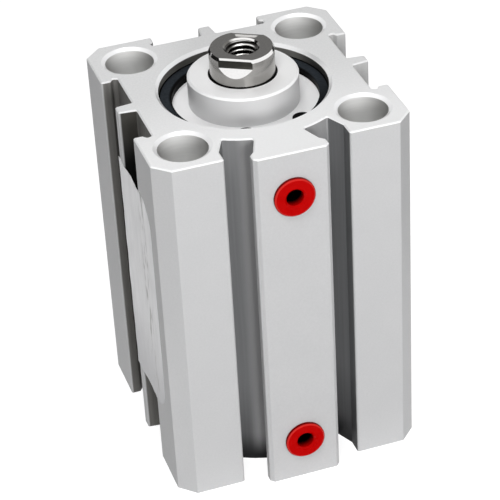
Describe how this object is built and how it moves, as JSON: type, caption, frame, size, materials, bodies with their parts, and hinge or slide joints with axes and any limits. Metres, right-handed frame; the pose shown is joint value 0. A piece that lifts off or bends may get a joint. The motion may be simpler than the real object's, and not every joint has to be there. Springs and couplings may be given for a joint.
{
  "type": "compact pneumatic cylinder",
  "caption": "Compact pneumatic cylinder: square slotted aluminium barrel, sliding steel rod with a tapped end, covers held by retaining rings and dust plugs in the side ports.",
  "frame": {"origin": "on the bore axis, in the plane of the barrel's rear end face", "axes": "+Z along the rod, the way it comes out; -Y towards the air ports; +X to the right seen from the ports"},
  "size_m": [0.04, 0.0427, 0.0663],
  "materials": {
    "barrel_aluminium": "satin blasted and clear anodised",
    "cover_aluminium": "fine turned",
    "rod_steel": "hard chrome, ground and polished",
    "spring_steel": "dark phosphated spring steel",
    "plug_plastic": "moulded red plastic",
    "seal_rubber": "black nitrile rubber",
    "bush_bronze": "sintered bronze",
    "wear_plastic": "filled low-friction plastic",
    "magnet_rubber": "plastic-bonded magnet",
    "screw_steel": "plain screw steel"
  },
  "bodies": {
    "barrel": {"cylinder_body": "barrel_aluminium", "rod_cover": "cover_aluminium", "rod_bush": "bush_bronze", "rod_seal": "seal_rubber", "rod_cover_o_ring": "seal_rubber", "front_circlip": "spring_steel", "rear_cover": "cover_aluminium", "rear_cover_o_ring": "seal_rubber", "rear_circlip": "spring_steel"},
    "piston_rings": {"wear_ring": "wear_plastic", "piston_seal_front": "seal_rubber", "piston_seal_rear": "seal_rubber"},
    "rod": {"piston_rod": "rod_steel", "piston_front": "cover_aluminium", "piston_rear": "cover_aluminium", "piston_magnet": "magnet_rubber", "front_bumper": "seal_rubber", "rear_bumper": "seal_rubber", "piston_o_ring": "seal_rubber", "piston_screw": "screw_steel"},
    "upper_plug": {"port_plug_upper": "plug_plastic"},
    "lower_plug": {"port_plug_lower": "plug_plastic"}
  },
  "joints": [
    {"name": "rod_slide", "type": "slide", "parent": "barrel", "child": "piston_rings", "axis": [0, 0, 1], "range_m": [0, 0.03]},
    {"name": "rod_turn", "type": "hinge", "parent": "piston_rings", "child": "rod", "pos_m": [0, 0, 0.0145], "axis": [0, 0, 1], "continuous": true},
    {"name": "upper_plug_pull", "type": "slide", "parent": "barrel", "child": "upper_plug", "axis": [0, -1, 0], "range_m": [0, 0.006]},
    {"name": "lower_plug_pull", "type": "slide", "parent": "barrel", "child": "lower_plug", "axis": [0, -1, 0], "range_m": [0, 0.006]}
  ]
}
